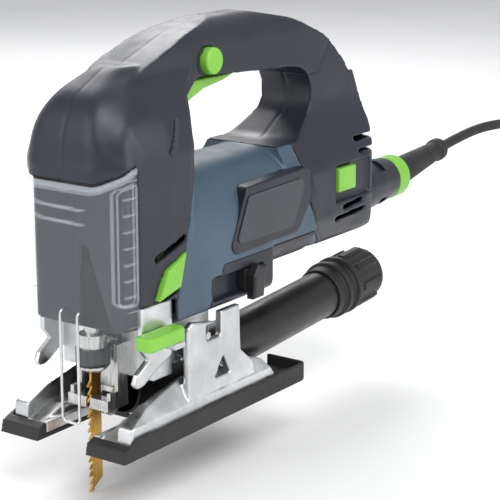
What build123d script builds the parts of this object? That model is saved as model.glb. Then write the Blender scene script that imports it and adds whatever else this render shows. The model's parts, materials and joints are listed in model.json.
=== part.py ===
from build123d import *
import math
import os

# A corded jigsaw with a D handle, in millimetres.
# Frame: the origin is where the blade's centre line crosses the underside of the sole.
# +Z is up, -Y is the front (the cutting direction), +X is the tool's left side.

# ---------------------------------------------------------------- driving sizes
# Clearances
RUN_GAP = 0.35          # between bodies that move past each other
SEAT_GAP = 0.15         # between loose-fitting pieces of one body
BEARING_FIT = 0.05      # radial clearance of a running fit

# Sole
SOLE_LENGTH = 158.0
SOLE_WIDTH = 81.0
SOLE_NOSE_Y = -25.0
SHOE_FLOOR = 2.5
SHOE_HEIGHT = 10.0
SHOE_WALL = 2.2
SLOT_WIDTH = 31.0
SLOT_END_Y = 27.0
CASTING_FLOOR = 1.4
RAIL_WIDTH = 9.0
CHEEK_THICKNESS = 3.7
CHEEK_OUTER_X = 37.5
CHEEK_FRONT_Y = 30.0
CHEEK_REAR_Y = 75.0
CHEEK_TOP_Z = 60.0
HOOK_PIN_R = 2.0
HOOK_PIN_Y = 47.5
HOOK_PIN_Z = 46.0
SOLE_TRAVEL = 8.0

# Body
WALL = 2.5
HEAD_HALF_W = 36.0
HEAD_BOTTOM_Z = 60.0
NOSE_Y = -19.5
RECESS_Y = -11.5
RECESS_HALF_W = 30.0
RECESS_END_Y = -1.5
RIM_Z = 132.5
RIM_SLOPE = 0.5
BARREL_R = 32.5
BARREL_AXIS_Z = 96.0
BARREL_FLOOR_Z = 65.0
LOWER_END_Y = 107.0
BARREL_BOTTOM_Z = 57.4
BARREL_FRONT_Y = 24.0
BARREL_REAR_Y = 150.0
HANDLE_HALF_W = 17.0
HANDLE_EDGE_R = 14.5
REAR_HALF_W = 32.5
REAR_END_Y = 226.0
REAR_BOTTOM_Z = 66.0
HOLE_FRONT_Y = 57.0
HOLE_REAR_Y = 171.0
HOLE_TOP_Z = 169.0
HEAD_REAR_Y = 44.0
# height, front, taper from the head's half width and rear of its upper plan outlines
DOME = [
    (141, -19.5, 0, 44), (149, -18.4, 1, 44.5), (157, -16.8, 3.2, 45.5), (164, -14, 6.4, 47.5),
    (170.5, -9.5, 11, 51), (175.5, -3, 15.5, 57), (180, 6, 19.5, 63), (184.5, 17, 23.5, 70),
]

# Drive
PLUNGER_Y = 0.7
PLUNGER_R = 4.0
PLUNGER_TOP_Z = 157.0
STROKE = 26.0
MOTOR_AXIS_Z = BARREL_AXIS_Z
GEAR_MODULE = 0.7
PINION_TEETH = 6
GEAR_TEETH = 54
GEAR_WIDTH = 7.0
GEAR_FRONT_Y = 11.0
SHAFT_R = 4.0

GEAR_AXIS_Z = MOTOR_AXIS_Z + GEAR_MODULE * (PINION_TEETH + GEAR_TEETH) / 2
CRANK_R = STROKE / 2
AXLE_R = 4.0
CASE_HALF_W = 26.5
CASE_CHEEK = 2.7
CASE_FRONT_Y = -3.5
CASE_WALL_Y = 24.3
CASE_REAR_Y = 33.0
CASE_BOTTOM_Z = 64.0
CASE_TOP_Z = 154.5
SWING_PIVOT_Z = 150.0
SWING_HALF_W = 22.5
SWING_STRIP = 2.2
BUSH_R = 5.8
UPPER_BUSH = (138.5, 145.0)
LOWER_BUSH = (67.0, 80.0)
YOKE_HALF_W = 19.5
YOKE_HALF_H = 7.0
YOKE_REAR_Y = 5.8
CLAMP_R = 7.2
CLAMP_BOTTOM_Z = 34.0
CLAMP_TOP_Z = 53.0
WEIGHT_TRAVEL = 7.8
BEARING_R = 9.5
BEARING_WIDTH = 6.0
REAR_BEARING_Y = 158.0

# Orbit
ARM_PIVOT = (17.0, 44.0)
ROLLER_R = 6.0
ROLLER_Z = 13.0
ROLLER_HALF_W = 2.5
JAW_GAP = 1.25

# Blade
BLADE_THICKNESS = 1.25
BLADE_WIDTH = 9.4
BLADE_TIP_Z = -30.3
TOOTH_PITCH = 4.0
TOOTH_DEPTH = 2.4
TOOTH_SET = 0.22

# Dust duct
DUCT_R = 14.0
DUCT_WALL = 1.8
DUCT_FRONT_Y = 20.0
DUCT_Z = 18.5
DUCT_END = (216.0, 24.5)
HOSE_BORE_R = 13.5
COUPLING_LENGTH = 40.0

# Supply
CORD_D = 6.5
PLUG_AXIS_Z = 82.5
RING_R = 13.2
RING_Y = (279.4, 291.0)
COLLAR_R = 15.5
BOOT_START_Y = 292.0
BOOT_END = (350.0, 90.2)
FLOOR_Z = -31.0
COIL_CENTRE = (4.0, 600.0)
COIL_COLUMNS = 4
COIL_LAYERS = 4
COIL_MID_R = 36.0
PIN_R = 2.4
PIN_LENGTH = 19.0
PIN_SPACING = 19.0
CORD_ROUTE = [
    (0, 350, 90.2), (0, 376, 93.4), (0, 409, 95.4), (3, 446, 93.6), (12, 481, 83.0), (25, 511, 62.0),
    (37, 537, 36.0), (45, 559, 12.0), (49, 579, -3.0), (50, 596, -8.25),
]


# Foot, levers and controls
FOOT_HALF_W = 29.5
FOOT_PLATE_IN = 30.2
FOOT_PLATE_OUT = 33.4
FOOT_PLATE_FRONT_Y = -1.2
FOOT_PLATE_TOP_Z = 71.0
ARM_POCKET = 9.0
ARM_PIN_R = 1.5
SWING_PIN_R = 2.0
ROLLER_PIN_R = 2.6
LEVER_PIVOT = (39.5, 15.8)
LEVER_SPAN = (52.6, 59.6)
LEVER_END_R = 5.3
LEVER_TIP_Y = -9.0
LEVER_PIN_R = 1.6
TRIGGER_HALF_W = 13.4
TRIGGER_SHOULDER_Z = 171.7
TRIGGER_PIN_R = 1.3
TRIGGER_PIVOT = (99.5, 174.0)
LOCK_BUTTON_R = 7.0
LOCK_BUTTON_AT = (76.6, 181.2)
SWITCH_POCKET = (174.0, 212.0, 90.5, 111.5)
POCKET_FLOOR_X = 29.2
SOCKET_R = 12.5
PLUG_STEM_R = 8.7
PLUG_BODY_R = 10.2
PLUG_HALF_W = 17.0
PLUG_HALF_H = 12.0
FAN_R = 27.0
STATOR_R = 29.7
GUARD_HALF_W = 33.2
GUARD_FRONT_Y = -20.4
GUARD_REAR_Y = -2.0
GUARD_WALL = 2.0
GUARD_STEPS = [(43, 0.62), (47, 0.68), (59.5, 1.0), (150, 1.0)]
GUARD_WIRE_Y = -16.6
HEAD_SLOTS = [((9, 93), (31.5, 101.5)), ((7, 70.8), (24.5, 76.5))]
REAR_SLOTS = [((181.5, 86.4), (203, 88.4)), ((175, 81), (206, 82.6))]


# ---------------------------------------------------------------- helpers
def side_face(points, radii=None):
    """A face in the side plane, from (y, z) corners with a rounding for each."""
    if radii is None:
        wire = Polyline(*points, close=True)
    else:
        wire = rounded(points, radii)
    return Plane.YZ * make_face(wire)


def rounded(points, radii):
    """A closed outline whose corners are rounded, each by its own radius."""
    count = len(points)
    pieces = []
    ends = []
    for i in range(count):
        here = Vector(*points[i])
        to_last = (Vector(*points[i - 1]) - here)
        to_next = (Vector(*points[(i + 1) % count]) - here)
        if radii[i] == 0:
            ends.append((here, None, here))
            continue
        half_turn = math.radians(180 - to_last.get_angle(to_next)) / 2
        reach = radii[i] * math.tan(half_turn)
        start = here + to_last.normalized() * reach
        stop = here + to_next.normalized() * reach
        middle_way = (to_last.normalized() + to_next.normalized()).normalized()
        depth = radii[i] / math.cos(half_turn) - radii[i]
        ends.append((start, here + middle_way * depth, stop))
    for i in range(count):
        start, middle, stop = ends[i]
        if middle is not None:
            pieces.append(ThreePointArc(start, middle, stop))
        following = ends[(i + 1) % count][0]
        if (following - stop).length > 1e-6:
            pieces.append(Line(stop, following))
    return Wire(pieces)


def slab(face, low, high):
    """A side-plane face made solid between two x places."""
    return extrude(Pos(low, 0, 0) * face, amount=high - low, dir=(1, 0, 0))


def box(low, high):
    size = [b - a for a, b in zip(low, high)]
    centre = [(a + b) / 2 for a, b in zip(low, high)]
    return Pos(*centre) * Box(*size)


def along_y(radius, start_y, end_y, x=0, z=0):
    """A round bar along Y."""
    middle = (start_y + end_y) / 2
    return Pos(x, middle, z) * Rot(90, 0, 0) * Cylinder(radius, end_y - start_y)


def along_x(radius, start_x, end_x, y=0, z=0):
    middle = (start_x + end_x) / 2
    return Pos(middle, y, z) * Rot(0, 90, 0) * Cylinder(radius, end_x - start_x)


def along_z(radius, start_z, end_z, x=0, y=0):
    return Pos(x, y, (start_z + end_z) / 2) * Cylinder(radius, end_z - start_z)


# ---------------------------------------------------------------- housing
def inset_face(face, amount):
    if amount == 0:
        return face
    return offset(face, amount=-amount, kind=Kind.INTERSECTION)


def prism(plane, points, radii, inset, reach):
    """An outline drawn on a plane and rounded, set in all round, made solid both ways by reach."""
    face = plane * inset_face(make_face(rounded(points, radii)), inset)
    return extrude(face, amount=reach, both=True)


def rim_height(y):
    return RIM_Z + RIM_SLOPE * (y - NOSE_Y)


def front_recess(inset):
    """What is taken off the head so that the clear guard can wrap round it."""
    top = RIM_Z + inset
    far = 90
    wedge = side_face([
        (-far, -10), (RECESS_END_Y + inset, -10),
        (RECESS_END_Y + inset, top + RIM_SLOPE * (RECESS_END_Y - NOSE_Y)),
        (-far, top + RIM_SLOPE * (-far - NOSE_Y)),
    ])
    kept = box(
        (-RECESS_HALF_W + inset, RECESS_Y + inset, -20),
        (RECESS_HALF_W - inset, 60, 200),
    )
    kept = fillet(kept.edges().filter_by(Axis.Z).sort_by(Axis.Y)[:2], 9 - inset)
    return slab(wedge, -60, 60) - kept


def head_outline(front, half, rear):
    """The head in plan: a rounded front, shoulders and straight flanks."""
    share = half / HEAD_HALF_W
    right = [
        (20 * share, front), (31.5 * share, front + 10.5), (half, front + 39.5 * share), (half, rear),
    ]
    left = [(-x, y) for x, y in reversed(right)]
    radii = [14 * share, 12 * share, 20 * share, 9 * share]
    return rounded(right + left, radii + radii[::-1])


def head_block(inset):
    plan = make_face(head_outline(NOSE_Y, HEAD_HALF_W, HEAD_REAR_Y))
    height = DOME[0][0] - HEAD_BOTTOM_Z - inset
    lower = Pos(0, 0, HEAD_BOTTOM_Z + inset) * extrude(inset_face(plan, inset), amount=height)
    sections = []
    for z, front, taper, rear in DOME:
        outline = make_face(head_outline(front, HEAD_HALF_W - taper, rear))
        sections.append(Pos(0, 0, z) * inset_face(outline, inset))
    cap = loft(sections)
    if inset:
        cap = cap & Pos(0, 0, -inset) * loft([
            Pos(0, 0, z) * make_face(head_outline(front, HEAD_HALF_W - taper, rear))
            for z, front, taper, rear in DOME
        ])
    return lower + cap - front_recess(inset)


def barrel_block(inset):
    top = BARREL_AXIS_Z + BARREL_R
    round_face = Plane.XZ * inset_face(make_face(rounded(
        [(-HEAD_HALF_W, BARREL_FLOOR_Z), (HEAD_HALF_W, BARREL_FLOOR_Z),
        (HEAD_HALF_W, top), (-HEAD_HALF_W, top)],
        [22, 22, BARREL_R - 1, BARREL_R - 1],
    )), inset)
    foot_face = Plane.XZ * inset_face(make_face(rounded(
        [(-HEAD_HALF_W, BARREL_BOTTOM_Z), (HEAD_HALF_W, BARREL_BOTTOM_Z),
        (HEAD_HALF_W, 90), (-HEAD_HALF_W, 90)],
        [5, 5, 0, 0],
    )), inset)
    length = BARREL_REAR_Y - BARREL_FRONT_Y - inset
    barrel = Pos(0, BARREL_FRONT_Y + inset, 0) * extrude(round_face, amount=-length)
    foot_length = LOWER_END_Y - BARREL_FRONT_Y - 2 * inset
    foot = Pos(0, BARREL_FRONT_Y + inset, 0) * extrude(foot_face, amount=-foot_length)
    return barrel + foot


def handle_block(inset):
    """The arched grip with the post that rises from the head and the one that falls to the rear."""
    side = [
        (6, 120), (6, 172), (26, 184), (60, 196), (92, 202.5), (122, 201.8), (155, 195.5), (186, 183),
        (208, 164), (220, 140), (REAR_END_Y, 110), (HOLE_REAR_Y, 110), (HOLE_REAR_Y, HOLE_TOP_Z - 3),
        (150, HOLE_TOP_Z), (67, HOLE_TOP_Z + 5), (HOLE_FRONT_Y, 165), (HOLE_FRONT_Y, 120),
    ]
    side_r = [0, 12, 60, 60, 60, 60, 60, 40, 40, 60, 0, 0, 16, 60, 7, 9, 0]
    body = prism(Plane.YZ, side, side_r, inset, 60)
    section = [
        (-HANDLE_HALF_W, 100), (HANDLE_HALF_W, 100), (HANDLE_HALF_W, 202), (-HANDLE_HALF_W, 202),
    ]
    return body & prism(Plane.XZ, section, [0, 0, HANDLE_EDGE_R, HANDLE_EDGE_R], inset, 300)


def rear_block(inset):
    side = [
        (128, REAR_BOTTOM_Z + 6), (172, REAR_BOTTOM_Z), (REAR_END_Y - 1, REAR_BOTTOM_Z), (REAR_END_Y, 112),
        (223, 142), (214, 160), (HOLE_REAR_Y, 160), (HOLE_REAR_Y, 144), (148, 129), (128, 129),
    ]
    body = prism(Plane.YZ, side, [0, 30, 12, 30, 20, 0, 0, 14, 14, 0], inset, 60)
    plan = [
        (-REAR_HALF_W, 120), (REAR_HALF_W, 120), (REAR_HALF_W, REAR_END_Y), (-REAR_HALF_W, REAR_END_Y),
    ]
    body = body & prism(Plane.XY, plan, [0, 0, 20, 20], inset, 300)
    low = REAR_BOTTOM_Z - 1
    section = [
        (-25, low), (25, low), (REAR_HALF_W + 1, 86), (REAR_HALF_W, 114), (HANDLE_HALF_W, 140),
        (HANDLE_HALF_W, 180), (-HANDLE_HALF_W, 180), (-HANDLE_HALF_W, 140), (-REAR_HALF_W, 114),
        (-REAR_HALF_W - 1, 86),
    ]
    section_r = [14, 14, 20, 24, 30, 0, 0, 30, 24, 20]
    return body & prism(Plane.XZ, section, section_r, inset, 300)


def envelope(inset):
    return head_block(inset) + barrel_block(inset) + handle_block(inset) + rear_block(inset)


# ---------------------------------------------------------------- housing pieces
BARREL_TOP_Z = BARREL_AXIS_Z + BARREL_R
FAR = 400.0


def region(points):
    """The space on both sides of the middle plane behind an outline in side view."""
    return slab(side_face(points), -100, 100)


def head_region():
    return region([
        (-80, 20), (BARREL_FRONT_Y, 20), (BARREL_FRONT_Y, 70), (36.5, 117), (40, BARREL_TOP_Z + 0.4),
        (120, BARREL_TOP_Z + 0.4), (120, 163), (176, 163), (208, 212), (-80, 212),
    ])


def rear_region():
    return region([
        (120, BARREL_TOP_Z + 0.4), (142, BARREL_TOP_Z + 0.4), (142, 98), (149, 84), (160, 74), (175, 58),
        (FAR, 58), (FAR, 212), (208, 212), (176, 163), (120, 163),
    ])


def lower_region():
    return region([(52, 40), (52, 74), (61, 75), (63, 80), (150, 80), (150, 40)])


def screw_places():
    return [(112, 190), (158, 182), (205, 152)]


def housing():
    outer = envelope(0)
    inner = envelope(WALL)
    backing = box((26, 170, 88), (REAR_HALF_W + 1, 214, 114)) & outer
    recess_back = box((28, 50, 60), (HEAD_HALF_W, 101, 76)) & outer
    shell = outer - inner + backing + recess_back
    for y, z in screw_places():
        shell += along_x(4.0, -HANDLE_HALF_W + 1, HANDLE_HALF_W - 1, y, z) & outer
    shell -= head_openings() + trigger_pin()
    shell -= rear_openings()
    left = box((0, -100, -100), (100, FAR, FAR))
    right = box((-100, -100, -100), (0, FAR, FAR))
    head = shell & head_region()
    rear = shell & rear_region()
    middle = shell - head_region() - rear_region()
    return {
        "head_shell_left": head & left,
        "head_shell_right": head & right,
        "rear_shell_left": rear & left,
        "rear_shell_right": rear & right,
        "motor_housing": middle - lower_region(),
        "lower_cover": middle & lower_region(),
    }


def release_button_face(grow):
    face = side_face([(15.6, 87.2), (30.0, 93.6), (25.2, 77.0), (8.8, 73.2)])
    return offset(face, amount=grow, kind=Kind.INTERSECTION) if grow else face


def trigger_face(grow):
    face = side_face([
        (57.9, 163.8), (61, 171), (66, 176.5), (103, 176.5),
        (103, 171.5), (93, 168.8), (77, 166.6), (66, 162.6),
        (59.5, 159.6),
    ])
    return offset(face, amount=grow, kind=Kind.INTERSECTION) if grow else face


def slot_x(start, stop, thickness, low, high):
    """A straight slot in side view from one place to another."""
    a = Vector(*start)
    b = Vector(*stop)
    way = (b - a).normalized()
    across = Vector(-way.Y, way.X) * (thickness / 2)
    corners = [a + across, b + across, b - across, a - across]
    return slab(side_face([(c.X, c.Y) for c in corners]), low, high)


def both_sides(solid):
    return solid + mirror(solid, about=Plane.YZ)


def head_openings():
    low = (-27.2, RECESS_Y + WALL, HEAD_BOTTOM_Z - 1)
    cut = box(low, (27.2, BARREL_FRONT_Y + 0.5, HEAD_BOTTOM_Z + WALL + 1))
    cut += both_sides(box((FOOT_PLATE_IN - SEAT_GAP, FOOT_PLATE_FRONT_Y - SEAT_GAP, HEAD_BOTTOM_Z - 1),
                          (HEAD_HALF_W + 2, BARREL_FRONT_Y - 0.3, FOOT_PLATE_TOP_Z + 0.2)))
    cut += slab(release_button_face(RUN_GAP), 25, 60)
    cut += slab(trigger_face(RUN_GAP + 0.3), -TRIGGER_HALF_W - RUN_GAP, TRIGGER_HALF_W + RUN_GAP)
    cut += slab(trigger_swept(), -TRIGGER_HALF_W - RUN_GAP, TRIGGER_HALF_W + RUN_GAP)
    cut += along_x(LOCK_BUTTON_R + RUN_GAP, 10, 30, *LOCK_BUTTON_AT)
    for start, stop in HEAD_SLOTS:
        cut += both_sides(slot_x(start, stop, 3.2, 30, 60))
    for y, z in screw_places():
        cut += along_x(3.2, -30, -HANDLE_HALF_W + 3, y, z)
        cut += along_x(1.6, -HANDLE_HALF_W + 2, HANDLE_HALF_W - 5, y, z)
    return cut


def trigger_swept():
    """The room that the trigger's front takes when it is pulled up."""
    return side_face([(55.8, 160), (58.5, 181), (104, 177.5), (104, 171), (59.5, 158.6)])


def rear_openings():
    cut = box((POCKET_FLOOR_X, SWITCH_POCKET[0], SWITCH_POCKET[2]), (60, SWITCH_POCKET[1], SWITCH_POCKET[3]))
    cut += box((31.5, 53, 62), (60, 98, 74))
    for z in (122.5, 115.5):
        cut += both_sides(box((16, 200, z - 1.5), (60, FAR, z + 1.5)))
    for start, stop in REAR_SLOTS:
        cut += both_sides(slot_x(start, stop, 2.6, 20, 60))
    cut += along_y(SOCKET_R + SEAT_GAP, REAR_END_Y - 10, FAR, 0, PLUG_AXIS_Z)
    return cut


def side_panels():
    """The raised panel on each flank of the motor housing, and the blank plate on it."""
    outline = rounded([(66, 83), (130, 84), (141, 98), (141, 118.5), (82, 117)], [5, 8, 8, 5, 5])
    block = slab(Plane.YZ * make_face(outline), 10, HEAD_HALF_W + 0.8)
    block = (block - envelope(0)) & box((10, 0, 0), (60, 141.8, 200))
    plate_outline = rounded([(72, 88.5), (124, 88), (136.5, 113.3), (83, 112.3)], [3, 5, 4, 3])
    plate = slab(Plane.YZ * make_face(plate_outline), HEAD_HALF_W + 0.8, HEAD_HALF_W + 1.4)
    return both_sides(block), both_sides(plate)


def housing_screws():
    group = []
    for y, z in screw_places():
        screw = along_x(3.0, -HANDLE_HALF_W + 0.6, -HANDLE_HALF_W + 3, y, z)
        screw += along_x(1.6, -HANDLE_HALF_W + 3, HANDLE_HALF_W - 5, y, z)
        screw -= box((-HANDLE_HALF_W, y - 0.5, z - 2), (-HANDLE_HALF_W + 1.6, y + 0.5, z + 2))
        group.append(screw)
    return Compound(children=group)


def guard_sections(inset):
    """The clear guard's outline at several heights: full above, drawn in towards the blade below."""
    faces = []
    for height, share in GUARD_STEPS:
        half = GUARD_HALF_W * share
        front = 21.0 * share
        outline = [
            (-front, GUARD_FRONT_Y), (front, GUARD_FRONT_Y), (half - 1, GUARD_FRONT_Y + 11), (half, 4),
            (-half, 4), (-half + 1, GUARD_FRONT_Y + 11),
        ]
        face = make_face(rounded(outline, [12 * share, 12 * share, 10 * share, 0, 0, 10 * share]))
        faces.append(Pos(0, 0, height) * inset_face(face, inset))
    return loft(faces, ruled=True)


def chip_guard():
    shell = guard_sections(0) - Pos(0, 0, -0.01) * guard_sections(GUARD_WALL)
    keep = region([
        (-60, 43), (GUARD_REAR_Y - 4, 43), (GUARD_REAR_Y - 4, 52), (GUARD_REAR_Y, 64),
        (GUARD_REAR_Y, rim_height(GUARD_REAR_Y) - RUN_GAP), (-60, rim_height(-60) - RUN_GAP),
    ])
    shell = shell & keep
    ribs = None
    for k in range(7):
        low = 78 + 8 * k
        rib = both_sides(box((GUARD_HALF_W - 3, -12, low), (GUARD_HALF_W + 0.6, -4.5, low + 1.2)))
        ribs = rib if ribs is None else ribs + rib
    ribs -= guard_sections(GUARD_WALL / 2)
    return shell + ribs


def finger_guard():
    """The U of steel wire in front of the blade, hooked back into the nose at the top."""
    half = 5.5
    path = FilletPolyline(
        (-half, RECESS_Y, 68), (-half, GUARD_WIRE_Y, 68),
        (-half, GUARD_WIRE_Y, 11), (half, GUARD_WIRE_Y, 11),
        (half, GUARD_WIRE_Y, 68), (half, RECESS_Y, 68), radius=2.4,
    )
    section = Plane(origin=path @ 0, z_dir=path % 0) * Circle(0.75)
    return sweep(section, path=path)


# ---------------------------------------------------------------- gear case and foot
def gear_case():
    low = (-CASE_HALF_W, CASE_FRONT_Y, CASE_BOTTOM_Z)
    case = box(low, (CASE_HALF_W, CASE_REAR_Y, CASE_TOP_Z))
    inside = CASE_HALF_W - CASE_CHEEK
    case -= box((-inside, CASE_FRONT_Y - 5, 0), (inside, CASE_WALL_Y, 300))
    case -= along_y(BEARING_R, CASE_REAR_Y - BEARING_WIDTH, 60, 0, MOTOR_AXIS_Z)
    case -= along_y(SHAFT_R + 2, 0, 60, 0, MOTOR_AXIS_Z)
    case -= along_y(AXLE_R, 0, 60, 0, GEAR_AXIS_Z)
    case -= along_x(SWING_PIN_R, -60, 60, PLUNGER_Y, SWING_PIVOT_Z)
    case -= both_sides(box((20, 4, 82), (60, 20, 138)))
    case = fillet(case.edges().filter_by(Axis.X).group_by(Axis.Z)[-1], 3)
    return case


def gear_foot():
    """The die-cast foot of the gear case: it carries the orbit arm, the duct and the sole's pins."""
    block = box((-FOOT_HALF_W, 12, 30), (FOOT_HALF_W, 58, BARREL_BOTTOM_Z - 0.1))
    block -= along_y(DUCT_R + SEAT_GAP, 0, 100, 0, DUCT_Z)
    block -= box((-DUCT_R - SEAT_GAP, 0, 0), (DUCT_R + SEAT_GAP, 100, DUCT_Z))
    neck = box((-CASE_HALF_W, 12, 50), (CASE_HALF_W, BARREL_FRONT_Y - 0.4, CASE_BOTTOM_Z))
    foot = block + neck
    foot -= box((-ARM_POCKET, 0, 0), (ARM_POCKET, 25, 100))
    foot -= along_x(ARM_PIN_R, -40, 40, *ARM_PIVOT)
    foot -= both_sides(box((FOOT_HALF_W - 9, 27, 20), (60, 45, 36)))
    foot -= along_x(HOOK_PIN_R, -60, 60, HOOK_PIN_Y, HOOK_PIN_Z)
    plate = side_face([
        (FOOT_PLATE_FRONT_Y, FOOT_PLATE_TOP_Z), (FOOT_PLATE_FRONT_Y, 50), (4, 44), (-5, 38.5), (-7, 34),
        (-5, 31.5), (0, 32), (9, 37),
        (22, 42), (BARREL_FRONT_Y - 1, 48), (BARREL_FRONT_Y - 1, FOOT_PLATE_TOP_Z),
    ])
    plates = both_sides(slab(plate, FOOT_PLATE_IN, FOOT_PLATE_OUT))
    bridge = both_sides(box((FOOT_HALF_W - 1, 12, 44), (FOOT_PLATE_IN + 0.5, BARREL_FRONT_Y - 1, 57)))
    x, y = LEVER_PIVOT
    ear = box((FOOT_PLATE_OUT - 1, y - 4, LEVER_SPAN[0] - 4), (x + 4, y + 4, LEVER_SPAN[0] - 0.4))
    ear -= along_z(LEVER_PIN_R, 0, 100, *LEVER_PIVOT)
    return foot + plates + bridge + ear


def steel_pins():
    """The fixed steel pins: swing pivot, arm pivot, the sole's two guide pins and the lever's pivot."""
    half = CASE_HALF_W
    group = [
        along_x(SWING_PIN_R, SWING_HALF_W - SWING_STRIP, half, PLUNGER_Y, SWING_PIVOT_Z),
        along_x(SWING_PIN_R, -half, SWING_STRIP - SWING_HALF_W, PLUNGER_Y, SWING_PIVOT_Z),
        along_x(ARM_PIN_R, -ARM_POCKET - 6, ARM_POCKET + 6, *ARM_PIVOT),
        along_x(HOOK_PIN_R, -CHEEK_OUTER_X + 0.6, CHEEK_OUTER_X - 0.6, HOOK_PIN_Y, HOOK_PIN_Z),
        along_z(LEVER_PIN_R, LEVER_SPAN[0] - 4, LEVER_SPAN[1] - 1.2, *LEVER_PIVOT),
    ]
    return Compound(children=group)


# ---------------------------------------------------------------- reciprocating drive
def swing_guide():
    """The carrier that hangs from the swing pin and holds both plunger bushes."""
    inner = SWING_HALF_W - SWING_STRIP
    low = (inner, PLUNGER_Y - 4.9, LOWER_BUSH[0])
    body = both_sides(box(low, (SWING_HALF_W, PLUNGER_Y + 4.5, SWING_PIVOT_Z + 4)))
    for low, high in (UPPER_BUSH, LOWER_BUSH):
        body += box((-SWING_HALF_W, PLUNGER_Y - 7, low), (SWING_HALF_W, PLUNGER_Y + 7, high))
    body -= along_z(BUSH_R, 0, 200, 0, PLUNGER_Y)
    body -= along_x(SWING_PIN_R + BEARING_FIT, -60, 60, PLUNGER_Y, SWING_PIVOT_Z)
    return body


def bush(span):
    ring = along_z(BUSH_R, span[0], span[1], 0, PLUNGER_Y)
    return ring - along_z(PLUNGER_R + BEARING_FIT, 0, 200, 0, PLUNGER_Y)


def plunger():
    rod = along_z(PLUNGER_R, CLAMP_BOTTOM_Z + 11, PLUNGER_TOP_Z, 0, PLUNGER_Y)
    rod = chamfer(rod.edges().group_by(Axis.Z)[-1], 0.8)
    yoke = box(
        (-YOKE_HALF_W, PLUNGER_Y - 3.2, GEAR_AXIS_Z - YOKE_HALF_H),
        (YOKE_HALF_W, YOKE_REAR_Y, GEAR_AXIS_Z + YOKE_HALF_H),
    )
    yoke = fillet(yoke.edges().filter_by(Axis.Y), 2.5)
    slot = ROLLER_PIN_R + 2.3
    yoke -= box(
        (-CRANK_R - slot, YOKE_REAR_Y - 3.5, GEAR_AXIS_Z - slot),
        (CRANK_R + slot, YOKE_REAR_Y + 1, GEAR_AXIS_Z + slot),
    )
    return rod + yoke


def blade_clamp():
    body = along_z(CLAMP_R, CLAMP_BOTTOM_Z, CLAMP_TOP_Z, 0, PLUNGER_Y)
    body = chamfer(body.edges().group_by(Axis.Z)[0], 1.2)
    body -= along_z(PLUNGER_R, CLAMP_BOTTOM_Z + 11, 100, 0, PLUNGER_Y)
    blade_room = BLADE_THICKNESS / 2 + TOOTH_SET + 0.1
    half = BLADE_WIDTH / 2 + 0.15
    body -= box((-blade_room, PLUNGER_Y - half, 0), (blade_room, PLUNGER_Y + half, CLAMP_BOTTOM_Z + 11))
    return body


def clamp_collar():
    ring = along_z(CLAMP_R + 1.5, CLAMP_BOTTOM_Z + 3, CLAMP_BOTTOM_Z + 12, 0, PLUNGER_Y)
    ring -= along_z(CLAMP_R, 0, 100, 0, PLUNGER_Y)
    for k in range(16):
        around = math.radians(22.5 * k)
        ring -= along_z(
            0.7, 0, 100, (CLAMP_R + 1.7) * math.cos(around), PLUNGER_Y + (CLAMP_R + 1.7) * math.sin(around),
        )
    return ring


def blade():
    """Blank and teeth; the teeth are set to the left and right in turn, and the tip is cut at a slant."""
    front = PLUNGER_Y - BLADE_WIDTH / 2
    rear = PLUNGER_Y + BLADE_WIDTH / 2
    root = front + TOOTH_DEPTH
    half = BLADE_THICKNESS / 2
    top = CLAMP_BOTTOM_Z + 10.8
    blank = side_face([(root, BLADE_TIP_Z + 1.4), (root, top), (rear, top), (rear, BLADE_TIP_Z + 6)])
    body = slab(blank, -half, half)
    count = int((CLAMP_BOTTOM_Z - 1 - BLADE_TIP_Z) // TOOTH_PITCH)
    for k in range(count):
        low = BLADE_TIP_Z + TOOTH_PITCH * k
        tooth = side_face([
            (root + 0.4, low + 0.2), (front, low), (root - 0.3, low + 2.6), (root, low + TOOTH_PITCH),
            (root + 0.4, low + TOOTH_PITCH),
        ])
        side = TOOTH_SET if k % 2 else -TOOTH_SET
        body += slab(tooth, -half + side, half + side)
    return body & box((-3, -20, BLADE_TIP_Z), (3, 20, 100))


def toothed_wheel(teeth, width, bore, start_y, axis_z, phase):
    """A spur wheel on a Y axis, with plain straight-sided teeth cut short so that they never bind."""
    pitch_r = GEAR_MODULE * teeth / 2
    root = pitch_r - 0.95 * GEAR_MODULE
    tip = pitch_r + 0.45 * GEAR_MODULE
    step = 2 * math.pi / teeth
    points = []
    for k in range(teeth):
        middle = phase + k * step
        for radius, share in ((root, -0.27), (tip, -0.12), (tip, 0.12), (root, 0.27)):
            angle = middle + share * step
            points.append((radius * math.cos(angle), radius * math.sin(angle)))
    face = Plane.XZ * make_face(Polyline(*points, close=True))
    wheel = Pos(0, start_y, axis_z) * extrude(face, amount=-width)
    if bore:
        wheel -= along_y(bore, start_y - 1, start_y + width + 1, 0, axis_z)
    return wheel


def drive_gear():
    bore = AXLE_R + BEARING_FIT
    gear = toothed_wheel(GEAR_TEETH, GEAR_WIDTH, bore, GEAR_FRONT_Y, GEAR_AXIS_Z, -math.pi / 2)
    pin = along_y(ROLLER_PIN_R, YOKE_REAR_Y + RUN_GAP, GEAR_FRONT_Y + 1, CRANK_R, GEAR_AXIS_Z)
    return gear + pin


def crank_roller():
    ring = along_y(ROLLER_PIN_R + 1.8, YOKE_REAR_Y + RUN_GAP, GEAR_FRONT_Y - 0.2, CRANK_R, GEAR_AXIS_Z)
    return ring - along_y(ROLLER_PIN_R, 0, 60, CRANK_R, GEAR_AXIS_Z)


def gear_axle():
    return along_y(AXLE_R, GEAR_FRONT_Y + 0.2, CASE_REAR_Y, 0, GEAR_AXIS_Z)


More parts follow.
